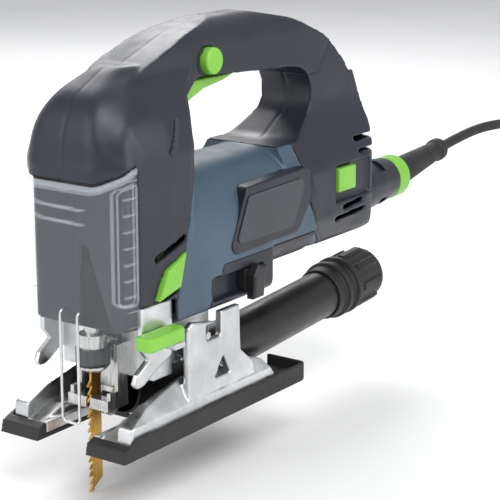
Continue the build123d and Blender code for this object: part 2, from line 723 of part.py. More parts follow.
def counterweight():
    half = CASE_HALF_W - CASE_CHEEK - RUN_GAP
    front = GEAR_FRONT_Y + GEAR_WIDTH + 1
    low = MOTOR_AXIS_Z - SHAFT_R - WEIGHT_TRAVEL - 1
    high = GEAR_AXIS_Z + AXLE_R + WEIGHT_TRAVEL + 1
    plate = box((-half, front, low - 8), (half, front + 4, high + 8))
    plate -= box((-AXLE_R - 2, front - 1, low), (AXLE_R + 2, front + 5, high))
    return fillet(plate.edges().filter_by(Axis.Y).group_by(Axis.X)[0], 3)


# ---------------------------------------------------------------- motor
def armature_shaft():
    front = GEAR_FRONT_Y + GEAR_WIDTH + 0.4
    shaft = along_y(SHAFT_R, front, REAR_BEARING_Y + BEARING_WIDTH, 0, MOTOR_AXIS_Z)
    # half a pitch round, so that its teeth meet the gaps of the wheel
    phase = math.pi / 2 + math.pi / PINION_TEETH
    pinion = toothed_wheel(PINION_TEETH, GEAR_WIDTH + 1, 0, GEAR_FRONT_Y, MOTOR_AXIS_Z, phase)
    return shaft + pinion


def armature_core():
    core = along_y(17.5, 60, 102, 0, MOTOR_AXIS_Z)
    for k in range(12):
        around = math.radians(30 * k)
        core -= along_y(1.6, 50, 110, 17.0 * math.cos(around), MOTOR_AXIS_Z + 17.0 * math.sin(around))
    return core - along_y(SHAFT_R, 0, 200, 0, MOTOR_AXIS_Z)


def commutator():
    drum = along_y(11.0, 110, 126, 0, MOTOR_AXIS_Z)
    return drum - along_y(SHAFT_R, 0, 200, 0, MOTOR_AXIS_Z)


def fan():
    hub = along_y(9.0, 38, 50, 0, MOTOR_AXIS_Z) + along_y(FAN_R, 48.5, 50, 0, MOTOR_AXIS_Z)
    for k in range(11):
        vane = box((8, 39.5, -0.7), (FAN_R, 49, 0.7))
        blade_solid = Pos(0, 0, MOTOR_AXIS_Z) * Rot(0, 360 / 11 * k, 0) * vane
        hub += blade_solid
    return hub - along_y(SHAFT_R, 0, 200, 0, MOTOR_AXIS_Z)


def field_stator():
    ring = along_y(STATOR_R, 60, 102, 0, MOTOR_AXIS_Z) - along_y(STATOR_R - 6, 0, 200, 0, MOTOR_AXIS_Z)
    poles = box((-14, 60, MOTOR_AXIS_Z - STATOR_R + 2), (14, 102, MOTOR_AXIS_Z + STATOR_R - 2))
    poles = poles & along_y(STATOR_R - 1, 60, 102, 0, MOTOR_AXIS_Z)
    body = ring + poles
    return body - along_y(17.5 + 0.6, 0, 200, 0, MOTOR_AXIS_Z)


def bearing(start_y):
    ring = along_y(BEARING_R, start_y, start_y + BEARING_WIDTH, 0, MOTOR_AXIS_Z)
    return ring - along_y(SHAFT_R + BEARING_FIT, 0, 300, 0, MOTOR_AXIS_Z)


def bearing_seat():
    """The web inside the rear shells that holds the rear bearing."""
    inner = envelope(WALL + SEAT_GAP)
    seat = box((-60, REAR_BEARING_Y - 1, 60), (60, REAR_BEARING_Y + BEARING_WIDTH, 128)) & inner
    return seat - along_y(BEARING_R, 0, REAR_BEARING_Y + 50, 0, MOTOR_AXIS_Z)


def carbon_brushes():
    spans = ((11.4, 24), (-24, -11.4))
    return Compound(children=[along_x(3.0, near, far, 118, MOTOR_AXIS_Z) for near, far in spans])


def brush_holders():
    left = along_x(5.2, 14, BARREL_R - WALL - 0.8, 118, MOTOR_AXIS_Z)
    left -= along_x(3.0, 0, 26, 118, MOTOR_AXIS_Z)
    return Compound(children=[left, mirror(left, about=Plane.YZ)])


# ---------------------------------------------------------------- orbit
def roller_centre():
    return PLUNGER_Y + BLADE_WIDTH / 2 + RUN_GAP + ROLLER_R


def orbit_arm():
    y, z = ARM_PIVOT
    roller_y = roller_centre()
    boss = along_x(4.5, -4.8, 4.8, y, z) - along_x(ARM_PIN_R + BEARING_FIT, -20, 20, y, z)
    strip = side_face([
        (y - 3.5, z - 2), (y + 3.2, z - 2), (roller_y + 2.5, ROLLER_Z), (roller_y + 1, ROLLER_Z - 2.5),
        (roller_y - 2.0, ROLLER_Z - 2.5), (roller_y - 2.2, ROLLER_Z + 3), (roller_y - 0.4, ROLLER_Z + 9),
    ])
    arm = boss + slab(strip, -4.8, 4.8) - along_x(ARM_PIN_R + BEARING_FIT, -20, 20, y, z)
    half = ROLLER_HALF_W + RUN_GAP
    arm -= box((-half, roller_y - 20, ROLLER_Z - 20), (half, roller_y + 20, ROLLER_Z + ROLLER_R + 0.6))
    pin = along_x(1.2, -4.8, 4.8, roller_y, ROLLER_Z)
    return arm + pin


def guide_roller():
    y = roller_centre()
    ring = along_x(ROLLER_R, -ROLLER_HALF_W, ROLLER_HALF_W, y, ROLLER_Z)
    groove = along_x(ROLLER_R + 1, -0.9, 0.9, y, ROLLER_Z) - along_x(ROLLER_R - 0.8, -5, 5, y, ROLLER_Z)
    return ring - groove - along_x(1.2 + BEARING_FIT, -20, 20, y, ROLLER_Z)


def guide_jaws():
    """Two carbide-tipped fingers beside the blade, hung from the foot."""
    finger = box((JAW_GAP, -4, 15), (13, 1.6, 20.6))
    arm = box((10.8, -2, 15), (13, 12, 48)) - box((0, -10, 24), (20, 4, 60))
    root = box((10.8, 10, 40), (13, 12.0, 48))
    return both_sides(finger + arm + root)


# ---------------------------------------------------------------- controls
def trigger():
    body = slab(trigger_face(0), -TRIGGER_HALF_W, TRIGGER_HALF_W)
    body = body & box((-60, 0, 0), (60, FAR, TRIGGER_SHOULDER_Z))
    body += slab(trigger_face(0), -8, 8)
    return body - along_x(TRIGGER_PIN_R + BEARING_FIT, -20, 20, *TRIGGER_PIVOT)


def trigger_pin():
    return along_x(TRIGGER_PIN_R, -HANDLE_HALF_W + WALL, HANDLE_HALF_W - WALL, *TRIGGER_PIVOT)


def switch_module():
    body = box((-8, 70, 181.5), (8, 102, 195))
    return (body & envelope(WALL + SEAT_GAP)) + box((-3, 84, 178.2), (3, 90, 182))


def lock_button():
    y, z = LOCK_BUTTON_AT
    cap = along_x(LOCK_BUTTON_R, 12.6, 21, y, z)
    cap = fillet(cap.edges().group_by(Axis.X)[-1], 1.5)
    return cap


def release_button():
    body = slab(release_button_face(0), 29.6, HEAD_HALF_W + 1.6)
    body = chamfer(body.edges().group_by(Axis.X)[-1], 0.7)
    for k in range(3):
        y = 15.2 + 3.6 * k
        body -= slot_x((y, 77.5 + 1.2 * k), (y + 4.2, 88 + 1.0 * k), 1.0, HEAD_HALF_W + 1.0, HEAD_HALF_W + 3)
    return body


def side_switch():
    low_y, high_y, low_z, high_z = SWITCH_POCKET
    low = (POCKET_FLOOR_X + RUN_GAP, low_y + 1.5, low_z + 6)
    body = box(low, (REAR_HALF_W + 1.2, low_y + 19, high_z - 1.5))
    body = fillet(body.edges().group_by(Axis.X)[-1], 1.0)
    for k in range(2):
        y = low_y + 5 + 3.4 * k
        body -= box((REAR_HALF_W + 0.7, y, low_z), (REAR_HALF_W + 3, y + 1.0, high_z))
    return body


def electronics_module():
    return box((-10, 178, 128), (10, 200, 158)) & envelope(WALL + 0.3)


def orbit_lever():
    """The knob that picks one of four orbits, in its track on the lower cover."""
    foot = box((31.5 + 0.3, 80, 62.4), (HEAD_HALF_W, 95, 73.6))
    grip = side_face([(82, 57.5), (91, 57.5), (93.5, 74), (86.5, 75.5), (82.5, 70)])
    grip_solid = slab(grip, HEAD_HALF_W - 0.1, HEAD_HALF_W + 5.5)
    grip_solid = fillet(grip_solid.edges().group_by(Axis.X)[-1], 1.6)
    low = box((HEAD_HALF_W + 0.4, 70, 50), (60, 100, 80))
    return foot + (grip_solid & low) + box((HEAD_HALF_W - 0.2, 84, 62.6), (HEAD_HALF_W + 1, 91, 73.4))


# ---------------------------------------------------------------- sole
def sole_shoe():
    """The plastic shoe: a shallow tray with a slanted nose, open at the blade slot."""
    rear = SOLE_NOSE_Y + SOLE_LENGTH
    half = SOLE_WIDTH / 2
    profile = side_face([
        (SOLE_NOSE_Y, 0), (rear, 0), (rear, SHOE_HEIGHT), (SOLE_NOSE_Y + 12, SHOE_HEIGHT),
        (SOLE_NOSE_Y + 1.5, SHOE_HEIGHT - 4),
    ])
    body = slab(profile, -half, half)
    body = fillet(body.edges().filter_by(Axis.Z).group_by(Axis.Y)[-1], 4)
    body -= box((-half + SHOE_WALL, SOLE_NOSE_Y + 7, SHOE_FLOOR), (half - SHOE_WALL, rear - SHOE_WALL, 50))
    slot = box((-SLOT_WIDTH / 2, SOLE_NOSE_Y - 5, -5), (SLOT_WIDTH / 2, SLOT_END_Y, 50))
    duct_gap = box((-DUCT_R - 1, rear - SOLE_TRAVEL, SHOE_FLOOR), (DUCT_R + 1, rear + 5, 50))
    return body - slot - duct_gap


def sole_casting():
    """The die-cast sole: floor, a faceted rail along each side and the cheek that hooks on the pins."""
    rear = SOLE_NOSE_Y + SOLE_LENGTH
    outer = SOLE_WIDTH / 2 - SHOE_WALL - SEAT_GAP
    floor_top = SHOE_FLOOR + CASTING_FLOOR
    floor = box((-outer, SOLE_NOSE_Y + 7.3, SHOE_FLOOR), (outer, rear - SHOE_WALL - SEAT_GAP, floor_top))
    rail_profile = side_face([
        (SOLE_NOSE_Y + 7.3, SHOE_FLOOR), (rear - 26, SHOE_FLOOR), (rear - 28, SHOE_HEIGHT + 1), (97, 20.5),
        (76, 27), (30, 27), (0, 21), (SOLE_NOSE_Y + 9, 14.5),
    ])
    rail = slab(rail_profile, outer - RAIL_WIDTH, outer)
    flank = [(outer + 1, 0), (outer + 1, 13), (outer - RAIL_WIDTH + 1.5, 28), (outer - RAIL_WIDTH - 8, 28),
             (outer - RAIL_WIDTH - 8, 0)]
    slope = extrude(Plane.XZ * make_face(Polyline(*flank, close=True)), amount=200, both=True)
    rail = rail & slope
    inner_rail = box((SLOT_WIDTH / 2, SOLE_NOSE_Y + 7.3, SHOE_FLOOR), (SLOT_WIDTH / 2 + 3, SLOT_END_Y, 8))
    web_face = side_face([
        (SOLE_NOSE_Y + 7.3, SHOE_FLOOR), (34, SHOE_FLOOR), (34, 12), (0, 12), (SOLE_NOSE_Y + 9, 6),
    ])
    web = slab(web_face, SLOT_WIDTH / 2, outer - RAIL_WIDTH + 1)
    web -= box((0, -100, 8), (SLOT_WIDTH / 2 + 4, 100, 50))
    room = HOOK_PIN_R + RUN_GAP
    hook_tip = HOOK_PIN_Y + SOLE_TRAVEL - room
    cheek_face = side_face([
        (CHEEK_FRONT_Y, SHOE_FLOOR),
        (CHEEK_FRONT_Y, CHEEK_TOP_Z - 6), (CHEEK_FRONT_Y + 4, CHEEK_TOP_Z - 3.6),
        (hook_tip, CHEEK_TOP_Z - 7.5), (hook_tip, 52), (HOOK_PIN_Y - room, 52),
        (HOOK_PIN_Y - room, HOOK_PIN_Z - 1), (HOOK_PIN_Y - 1, HOOK_PIN_Z - room),
        (HOOK_PIN_Y + SOLE_TRAVEL + 1, HOOK_PIN_Z - room),
        (HOOK_PIN_Y + SOLE_TRAVEL + room, HOOK_PIN_Z - 1),
        (HOOK_PIN_Y + SOLE_TRAVEL + room, CHEEK_TOP_Z - 3.2),
        (CHEEK_REAR_Y - 1, CHEEK_TOP_Z - 3.2), (CHEEK_REAR_Y, 32),
        (CHEEK_REAR_Y + 12, 22), (CHEEK_REAR_Y + 12, SHOE_FLOOR),
    ])
    cheek = slab(cheek_face, CHEEK_OUTER_X - CHEEK_THICKNESS, CHEEK_OUTER_X)
    window = slab(side_face([(52, 22), (66, 22), (60, 33)]), 20, 60)
    half = rail + inner_rail + web + cheek - window
    slot = box((-SLOT_WIDTH / 2, SOLE_NOSE_Y - 5, -5), (SLOT_WIDTH / 2, SLOT_END_Y, 50))
    return floor + both_sides(half) - slot


def release_lever():
    """The green lever that frees the sole: it swings out about its rear end."""
    x, y = LEVER_PIVOT
    low, high = LEVER_SPAN
    half = LEVER_END_R
    bar = box((x - half, LEVER_TIP_Y, low), (x + half, y, high)) + along_z(half, low, high, x, y)
    bar = fillet(bar.edges().filter_by(Axis.Z).group_by(Axis.Y)[0], 2.5)
    bar = fillet(bar.edges().group_by(Axis.Z)[-1], 1.2)
    return bar - along_z(LEVER_PIN_R + BEARING_FIT, 0, high - 0.8, x, y)


# ---------------------------------------------------------------- dust path
def dust_duct():
    y, z = DUCT_END
    path = FilletPolyline((0, DUCT_FRONT_Y, DUCT_Z), (0, 130, DUCT_Z), (0, y, z), radius=120)
    section = Plane.XZ.offset(-DUCT_FRONT_Y) * (Circle(DUCT_R) - Circle(DUCT_R - DUCT_WALL))
    section = Pos(0, 0, DUCT_Z) * section
    return sweep(section, path=path)


def hose_coupling():
    """The swivelling end that takes the extractor hose: two flanges and a ribbed grip."""
    points = [
        (DUCT_R + BEARING_FIT, -9), (15.4, -9), (15.4, -1), (17.4, -0.4), (17.4, 3), (15.4, 4), (15.4, 8.5),
        (17.8, 9.5), (17.8, 13), (15.8, 14), (15.8, COUPLING_LENGTH - 1), (15.2, COUPLING_LENGTH),
        (HOSE_BORE_R, COUPLING_LENGTH), (HOSE_BORE_R, 0.6), (DUCT_R + BEARING_FIT, 0.6),
    ]
    face = make_face(Polyline(*points, close=True))
    body = revolve(face, axis=Axis.Y)
    for k in range(8):
        rib = Rot(0, 45 * k, 0) * box((14.6, 16.5, -2.4), (17.4, COUPLING_LENGTH - 4, 2.4))
        body += rib
    y, z = DUCT_END
    return Pos(0, y, z) * Rot(duct_tilt(), 0, 0) * body


def duct_tilt():
    y, z = DUCT_END
    return math.degrees(math.atan2(z - DUCT_Z, y - 130))


# ---------------------------------------------------------------- supply
def round_body(profile, y=0, z=PLUG_AXIS_Z, tilt=0.0):
    """A turned piece on a Y axis, from (radius, distance) corners."""
    face = make_face(Polyline(*profile, close=True))
    return Pos(0, y, z) * Rot(tilt, 0, 0) * revolve(face, axis=Axis.Y)


def socket_collar():
    rear = REAR_END_Y
    tube = [
        (PLUG_STEM_R + SEAT_GAP, rear - 9), (SOCKET_R, rear - 9), (SOCKET_R, rear), (COLLAR_R, rear),
        (COLLAR_R, rear + 20), (COLLAR_R - 0.8, rear + 34), (RING_R - 0.4, RING_Y[0] - RUN_GAP),
        (PLUG_STEM_R + SEAT_GAP, RING_Y[0] - RUN_GAP),
    ]
    body = round_body(tube)
    for k in range(2):
        flat = box((11.2, rear + 30, -5), (20, rear + 38, 5))
        body -= Pos(0, 0, PLUG_AXIS_Z) * Rot(0, -60 + 110 * k, 0) * flat
    return body


def lock_ring():
    low, high = RING_Y
    ring = [
        (PLUG_BODY_R + RUN_GAP, low), (RING_R - 0.7, low), (RING_R, low + 0.9), (RING_R, high - 0.9),
        (RING_R - 0.7, high), (PLUG_BODY_R + RUN_GAP, high),
    ]
    return round_body(ring)


def plug_body():
    rear = REAR_END_Y
    profile = [
        (0, rear + 4), (PLUG_STEM_R, rear + 4),
        (PLUG_STEM_R, RING_Y[0] - RUN_GAP), (PLUG_BODY_R, RING_Y[0] - RUN_GAP),
        (PLUG_BODY_R, RING_Y[1] + RUN_GAP),
        (RING_R - 1.4, RING_Y[1] + RUN_GAP), (RING_R - 1.8, RING_Y[1] + 3),
        (0, RING_Y[1] + 3),
    ]
    return round_body(profile)


def boot_tilt():
    return math.degrees(math.atan2(BOOT_END[1] - PLUG_AXIS_Z - 0.5, BOOT_END[0] - RING_Y[1] - 3))


def cord_boot():
    """The tapered bend sleeve, with a small collar at its end."""
    start = RING_Y[1] + 3
    length = math.hypot(BOOT_END[0] - start, BOOT_END[1] - PLUG_AXIS_Z - 0.5)
    profile = [
        (0, -1), (9.4, -1), (8.8, 6),
        (6.3, length - 9), (6.3, length - 7), (7.3, length - 6.4), (7.3, length - 1.6),
        (6.6, length), (0, length),
    ]
    boot = round_body(profile, start, PLUG_AXIS_Z + 0.5, boot_tilt())
    return boot & box((-30, start, 0), (30, BOOT_END[0], 200))


def cord_path():
    corners = [Vector(*point) for point in CORD_ROUTE]
    radii = []
    for i in range(1, len(corners) - 1):
        before = corners[i] - corners[i - 1]
        after = corners[i + 1] - corners[i]
        half_turn = math.radians(before.get_angle(after)) / 2
        radii.append(0.45 * min(before.length, after.length) / math.tan(half_turn))
    print("cord radii", [round(r, 1) for r in radii])
    return FilletPolyline(*corners, radius=radii)


def coil_solid():
    """The outer shape of the wound part of the lead."""
    x, y = COIL_CENTRE
    half = COIL_COLUMNS * CORD_D / 2
    high = COIL_LAYERS * CORD_D
    ring = along_z(COIL_MID_R + half, FLOOR_Z, FLOOR_Z + high, x, y)
    ring -= along_z(COIL_MID_R - half, FLOOR_Z - 1, FLOOR_Z + high + 1, x, y)
    return chamfer(ring.edges(), 2.0)


def cord_tube(coil):
    path = cord_path()
    section = Plane(origin=path @ 0, z_dir=path % 0) * Circle(CORD_D / 2)
    tube = sweep(section, path=path)
    print("cord tube", round(path.length, 1), round(tube.volume / (math.pi * CORD_D ** 2 / 4), 1))
    return tube - coil - cord_boot()


def cord_tie():
    """The strap round the bundle of turns on the far side of the coil."""
    x, y = COIL_CENTRE
    half = COIL_COLUMNS * CORD_D / 2
    high = COIL_LAYERS * CORD_D
    outer_x = x - COIL_MID_R - half - 1.2
    strap = box((outer_x, y - 5, FLOOR_Z), (outer_x + 2 * half + 2.4, y + 5, FLOOR_Z + high + 1.2))
    return strap - coil_solid()


def mains_plug():
    """A flat two-pin plug lying on the coil, with its own bend sleeve."""
    x, y = COIL_CENTRE
    centre_z = FLOOR_Z + COIL_LAYERS * CORD_D + PLUG_HALF_H
    x = x + COIL_MID_R - 9
    outline = rounded(
        [(-9, 26), (9, 26), (PLUG_HALF_W, 38), (PLUG_HALF_W, 62), (-PLUG_HALF_W, 62), (-PLUG_HALF_W, 38)],
        [3, 3, 8, 3, 3, 8],
    )
    face = make_face(outline)
    body = extrude(face, amount=PLUG_HALF_H, both=True)
    body = fillet(body.edges().group_by(Axis.Z)[-1], 3)
    sleeve = round_body([(0, 4), (4.6, 4), (6.6, 27), (0, 27)], 0, 0)
    return Pos(x, y, centre_z) * (body + sleeve)


def plug_pins():
    x, y = COIL_CENTRE
    centre_z = FLOOR_Z + COIL_LAYERS * CORD_D + PLUG_HALF_H
    x = x + COIL_MID_R - 9
    group = []
    for side in (-1, 1):
        pin = along_y(PIN_R, y + 62, y + 62 + PIN_LENGTH, x + side * PIN_SPACING / 2, centre_z)
        group.append(fillet(pin.edges().group_by(Axis.Y)[-1], 1.0))
    return Compound(children=group)


def main():
    os.makedirs("parts", exist_ok=True)
    nodes = housing()
    nodes["side_panels"], nodes["nameplates"] = side_panels()
    nodes["bearing_plate"] = bearing_seat()
    coil = coil_solid()
    nodes.update({
        "housing_screws": housing_screws(),
        "chip_guard": chip_guard(),
        "finger_guard": finger_guard(),
        "gear_case": gear_case(),
        "gear_foot": gear_foot(),
        "steel_pins": steel_pins(),
        "swing_guide": swing_guide(),
        "bush_upper": bush(UPPER_BUSH),
        "bush_lower": bush(LOWER_BUSH),
        "plunger": plunger(),
        "blade_clamp": blade_clamp(),
        "clamp_collar": clamp_collar(),
        "blade": blade(),
        "drive_gear": drive_gear(),
        "crank_roller": crank_roller(),
        "gear_axle": gear_axle(),
        "counterweight": counterweight(),
        "armature_shaft": armature_shaft(),
        "armature_core": armature_core(),
        "commutator": commutator(),
        "fan": fan(),
        "field_stator": field_stator(),
        "front_bearing": bearing(CASE_REAR_Y - BEARING_WIDTH),
        "rear_bearing": bearing(REAR_BEARING_Y),
        "carbon_brushes": carbon_brushes(),
        "brush_holders": brush_holders(),
        "orbit_lever": orbit_lever(),
        "orbit_arm": orbit_arm(),
        "guide_roller": guide_roller(),
        "guide_jaws": guide_jaws(),
        "trigger": trigger(),
        "trigger_pin": trigger_pin(),
        "switch_module": switch_module(),
        "lock_button": lock_button(),
        "release_button": release_button(),
        "side_switch": side_switch(),
        "electronics_module": electronics_module(),
        "sole_shoe": sole_shoe(),
        "sole_casting": sole_casting(),
        "release_lever": release_lever(),
        "dust_duct": dust_duct(),
        "hose_coupling": hose_coupling(),
        "socket_collar": socket_collar(),
        "lock_ring": lock_ring(),
        "plug_body": plug_body(),
        "cord_boot": cord_boot(),
        "cord_tube": cord_tube(coil),
        "cord_coil": coil,
        "cord_tie": cord_tie(),
        "mains_plug": mains_plug(),
        "plug_pins": plug_pins(),
    })
    for name, shape in nodes.items():
        export_step(shape, f"parts/{name}.step")


if __name__ == "__main__":
    main()
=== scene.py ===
"""Looks for the corded jigsaw: moulded shells, clear guard, cast sole, lead and controls.

The frame holds the mechanical pieces.  The outer ones get moulded or cast skins with grooves,
vents and ribs, and every piece that is carried over gets a finish of its own.
"""

import json
import math

import bmesh
import bpy
import numpy as np
from bpy.props import FloatProperty, FloatVectorProperty, PointerProperty
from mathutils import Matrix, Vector

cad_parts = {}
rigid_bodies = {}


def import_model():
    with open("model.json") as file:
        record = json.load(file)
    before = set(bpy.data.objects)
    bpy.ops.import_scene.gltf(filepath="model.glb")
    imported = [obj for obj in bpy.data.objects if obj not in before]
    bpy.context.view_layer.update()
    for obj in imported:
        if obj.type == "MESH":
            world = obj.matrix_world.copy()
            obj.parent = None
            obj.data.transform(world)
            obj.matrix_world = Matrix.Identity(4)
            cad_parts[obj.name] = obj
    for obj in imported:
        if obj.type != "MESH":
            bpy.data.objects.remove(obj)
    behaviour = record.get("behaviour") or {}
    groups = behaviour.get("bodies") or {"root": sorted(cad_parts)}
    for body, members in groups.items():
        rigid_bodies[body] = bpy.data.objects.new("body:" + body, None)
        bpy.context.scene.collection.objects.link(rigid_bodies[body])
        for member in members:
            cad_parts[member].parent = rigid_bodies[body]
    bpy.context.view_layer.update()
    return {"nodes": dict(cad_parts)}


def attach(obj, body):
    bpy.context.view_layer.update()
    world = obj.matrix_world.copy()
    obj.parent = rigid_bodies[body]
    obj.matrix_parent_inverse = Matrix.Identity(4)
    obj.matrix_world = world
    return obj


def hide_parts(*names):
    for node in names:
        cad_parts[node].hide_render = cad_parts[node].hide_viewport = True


bl_info = {
    "name": "Jigsaw looks",
    "version": (1, 0, 0),
    "blender": (4, 5, 0),
    "location": "3D View > Sidebar > Jigsaw",
    "description": "Builds the visible pieces and finishes of a corded jigsaw round its CAD frame",
    "category": "Object",
}

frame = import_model()

MM = 0.001

# Camera and floor, in metres and radians
VIEW_AZIMUTH = math.radians(35.36)
VIEW_ELEVATION = math.radians(14.62)
CAMERA_PLACE = (0.52507, -0.60398, 0.30339)
LENS = 120.96
FLOOR_Z = -0.0312

# Lead, in mm: the route repeats the CAD model's points, then the coil takes over
CORD_ROUTE = [
    (0, 350, 90.2), (0, 376, 93.4), (0, 409, 95.4), (3, 446, 93.6), (12, 481, 83.0),
    (25, 511, 62.0), (37, 537, 36.0), (45, 559, 12.0), (49, 579, -3.0),
]
COIL_CENTRE = (4.0, 600.0)
COIL_RADII = (45.75, 39.25, 32.75, 26.25)
COIL_TOP_Z = -8.25
COIL_LAYERS = 4
COIL_LAYER_STEP = 6.5
POINTS_PER_TURN = 16
PLUG_ENTRY = (31.0, 603.0, 7.0)

# Lines drawn on the shells in side view, in mm (y, z)
HEAD_SEAM = [(24, 20), (24, 70), (36.5, 117), (39.5, 138), (43, 150)]
REAR_SEAM = [(142, 140), (142, 98), (150, 84), (165, 72)]
GRIP_SEAM = [(205, 200), (177, 163)]
GRIP_VENT = [(28.7, 158.5), (25.0, 151.5), (20.6, 145)]
CHEEK_CREASE = [(-2, 140), (-9, 153), (-10, 163), (0, 176), (24, 190)]
LOCK_BUTTON_AXIS = (76.6, 181.2)
LOCK_BUTTON_R = 7.0


# ---------------------------------------------------------------- sizes and colours to change
class JigsawSizes(bpy.types.PropertyGroup):
    """Sizes of the surface details."""

    lead_diameter: FloatProperty(
        name="Lead diameter", description="Outside diameter of the mains lead", default=0.0065,
        min=0.004, max=0.010, unit="LENGTH", precision=4,
    )
    shell_grain: FloatProperty(
        name="Shell grain", description="Size of the small faces that make up the large shells",
        default=0.001, min=0.0005, max=0.003, unit="LENGTH", precision=4,
    )
    seam_width: FloatProperty(
        name="Seam width", description="Half width of the joint lines between shells", default=0.0007,
        min=0.0004, max=0.003, unit="LENGTH", precision=4,
    )
    seam_depth: FloatProperty(
        name="Seam depth", description="Depth of the joint lines between shells", default=0.0005,
        min=0.0, max=0.002, unit="LENGTH", precision=4,
    )
    crease_depth: FloatProperty(
        name="Crease depth", description="Depth of the soft valley on each side of the dome",
        default=0.0006, min=0.0, max=0.002, unit="LENGTH", precision=4,
    )
    guard_rib: FloatProperty(
        name="Guard rib height", description="How far the guard's ribs and rim stand proud",
        default=0.0006, min=0.0, max=0.002, unit="LENGTH", precision=4,
    )


def colour_property(label, words, value):
    return FloatVectorProperty(
        name=label, description=words, default=value, size=3, min=0, max=1, subtype="COLOR",
    )


class JigsawColours(bpy.types.PropertyGroup):
    """Base colours of the finishes."""

    shell: colour_property("Shells", "Dark navy-grey plastic of the head and rear", (0.014, 0.016, 0.026))
    motor: colour_property("Motor housing", "Slate-blue plastic round the motor", (0.047, 0.080, 0.116))
    controls: colour_property("Controls", "Lime-green plastic of the controls", (0.19, 0.48, 0.05))
    guard: colour_property("Guard", "Tint of the clear guard", (0.56, 0.61, 0.64))
    casting: colour_property("Casting", "Bare die-cast alloy", (0.66, 0.67, 0.68))
    black: colour_property("Black parts", "Black plastic of the shoe and duct", (0.011, 0.011, 0.012))
    blade: colour_property("Blade", "Gold coating on the blade", (0.60, 0.36, 0.09))


# ---------------------------------------------------------------- node trees
class Tree:
    """Short names for building one material's nodes."""

    def __init__(self, name):
        self.material = bpy.data.materials.new(name)
        self.material.use_nodes = True
        self.nodes = self.material.node_tree.nodes
        self.links = self.material.node_tree.links
        self.shader = self.nodes["Principled BSDF"]

    def add(self, kind, **values):
        node = self.nodes.new(kind)
        for key, value in values.items():
            if key in node.inputs:
                node.inputs[key].default_value = value
            else:
                setattr(node, key, value)
        return node

    def join(self, start, end):
        self.links.new(start, end)

    def place(self, scale=(1, 1, 1)):
        coordinates = self.add("ShaderNodeTexCoord")
        mapping = self.add("ShaderNodeMapping")
        mapping.inputs["Scale"].default_value = scale
        self.join(coordinates.outputs["Object"], mapping.inputs["Vector"])
        return mapping.outputs["Vector"]

    def noise(self, scale, detail=3.0, stretch=(1, 1, 1), rough=0.5):
        node = self.add("ShaderNodeTexNoise")
        node.inputs["Scale"].default_value = scale
        node.inputs["Detail"].default_value = detail
        node.inputs["Roughness"].default_value = rough
        self.join(self.place(stretch), node.inputs["Vector"])
        return node.outputs["Fac"]

    def ramp(self, value, low, high, start=0.35, stop=0.65):
        node = self.add("ShaderNodeMapRange")
        node.inputs["From Min"].default_value = start
        node.inputs["From Max"].default_value = stop
        node.inputs["To Min"].default_value = low
        node.inputs["To Max"].default_value = high
        self.join(value, node.inputs["Value"])
        return node.outputs["Result"]

    def colours(self, value, first, second, start=0.35, stop=0.65):
        node = self.add("ShaderNodeValToRGB")
        node.color_ramp.elements[0].position = start
        node.color_ramp.elements[0].color = (*first, 1)
        node.color_ramp.elements[1].position = stop
        node.color_ramp.elements[1].color = (*second, 1)
        self.join(value, node.inputs["Fac"])
        return node.outputs["Color"]

    def bump(self, value, depth_mm, strength=0.6, normal=None):
        node = self.add("ShaderNodeBump")
        node.inputs["Strength"].default_value = strength
        node.inputs["Distance"].default_value = depth_mm * MM
        self.join(value, node.inputs["Height"])
        if normal is not None:
            self.join(normal, node.inputs["Normal"])
        return node.outputs["Normal"]


def shade(colour, factor):
    return tuple(min(1.0, part * factor) for part in colour)


SPARK_GRAIN_SCALE = 2200


def moulded(name, colour, rough=0.42, grain=0.05, spread=0.12):
    """Injection-moulded plastic: fine spark grain, slow tone change and handled patches."""
    tree = Tree(name)
    tone = tree.colours(tree.noise(18, 4), shade(colour, 1 - spread), shade(colour, 1 + spread))
    tree.join(tone, tree.shader.inputs["Base Color"])
    tree.join(tree.ramp(tree.noise(60, 5), rough - 0.07, rough + 0.09), tree.shader.inputs["Roughness"])
    fine = tree.bump(tree.noise(SPARK_GRAIN_SCALE, 2), grain, 0.7)
    tree.join(tree.bump(tree.noise(25, 2), 0.12, 0.25, fine), tree.shader.inputs["Normal"])
    tree.shader.inputs["Specular IOR Level"].default_value = 0.45
    return tree.material


def cast_metal(name, colour, rough=0.36):
    """Die-cast alloy: cloudy tone, faint flow marks and a sandy skin."""
    tree = Tree(name)
    tone = tree.colours(tree.noise(35, 6, rough=0.65), shade(colour, 0.80), shade(colour, 1.10))
    tree.join(tone, tree.shader.inputs["Base Color"])
    tree.join(tree.ramp(tree.noise(90, 6), rough - 0.10, rough + 0.14), tree.shader.inputs["Roughness"])
    sand = tree.bump(tree.noise(1500, 3), 0.06, 0.6)
    tree.join(tree.bump(tree.noise(140, 4), 0.15, 0.3, sand), tree.shader.inputs["Normal"])
    tree.shader.inputs["Metallic"].default_value = 1.0
    return tree.material


def brushed(name, colour, rough=0.25, along=(1, 1, 0.04), scale=900):
    """Drawn or ground steel with fine lines one way."""
    tree = Tree(name)
    lines = tree.noise(scale, 3, along)
    tone = tree.colours(tree.noise(40, 4), shade(colour, 0.85), shade(colour, 1.08))
    tree.join(tone, tree.shader.inputs["Base Color"])
    tree.join(tree.ramp(lines, rough - 0.08, rough + 0.14), tree.shader.inputs["Roughness"])
    tree.join(tree.bump(lines, 0.03, 0.5), tree.shader.inputs["Normal"])
    tree.shader.inputs["Metallic"].default_value = 1.0
    return tree.material


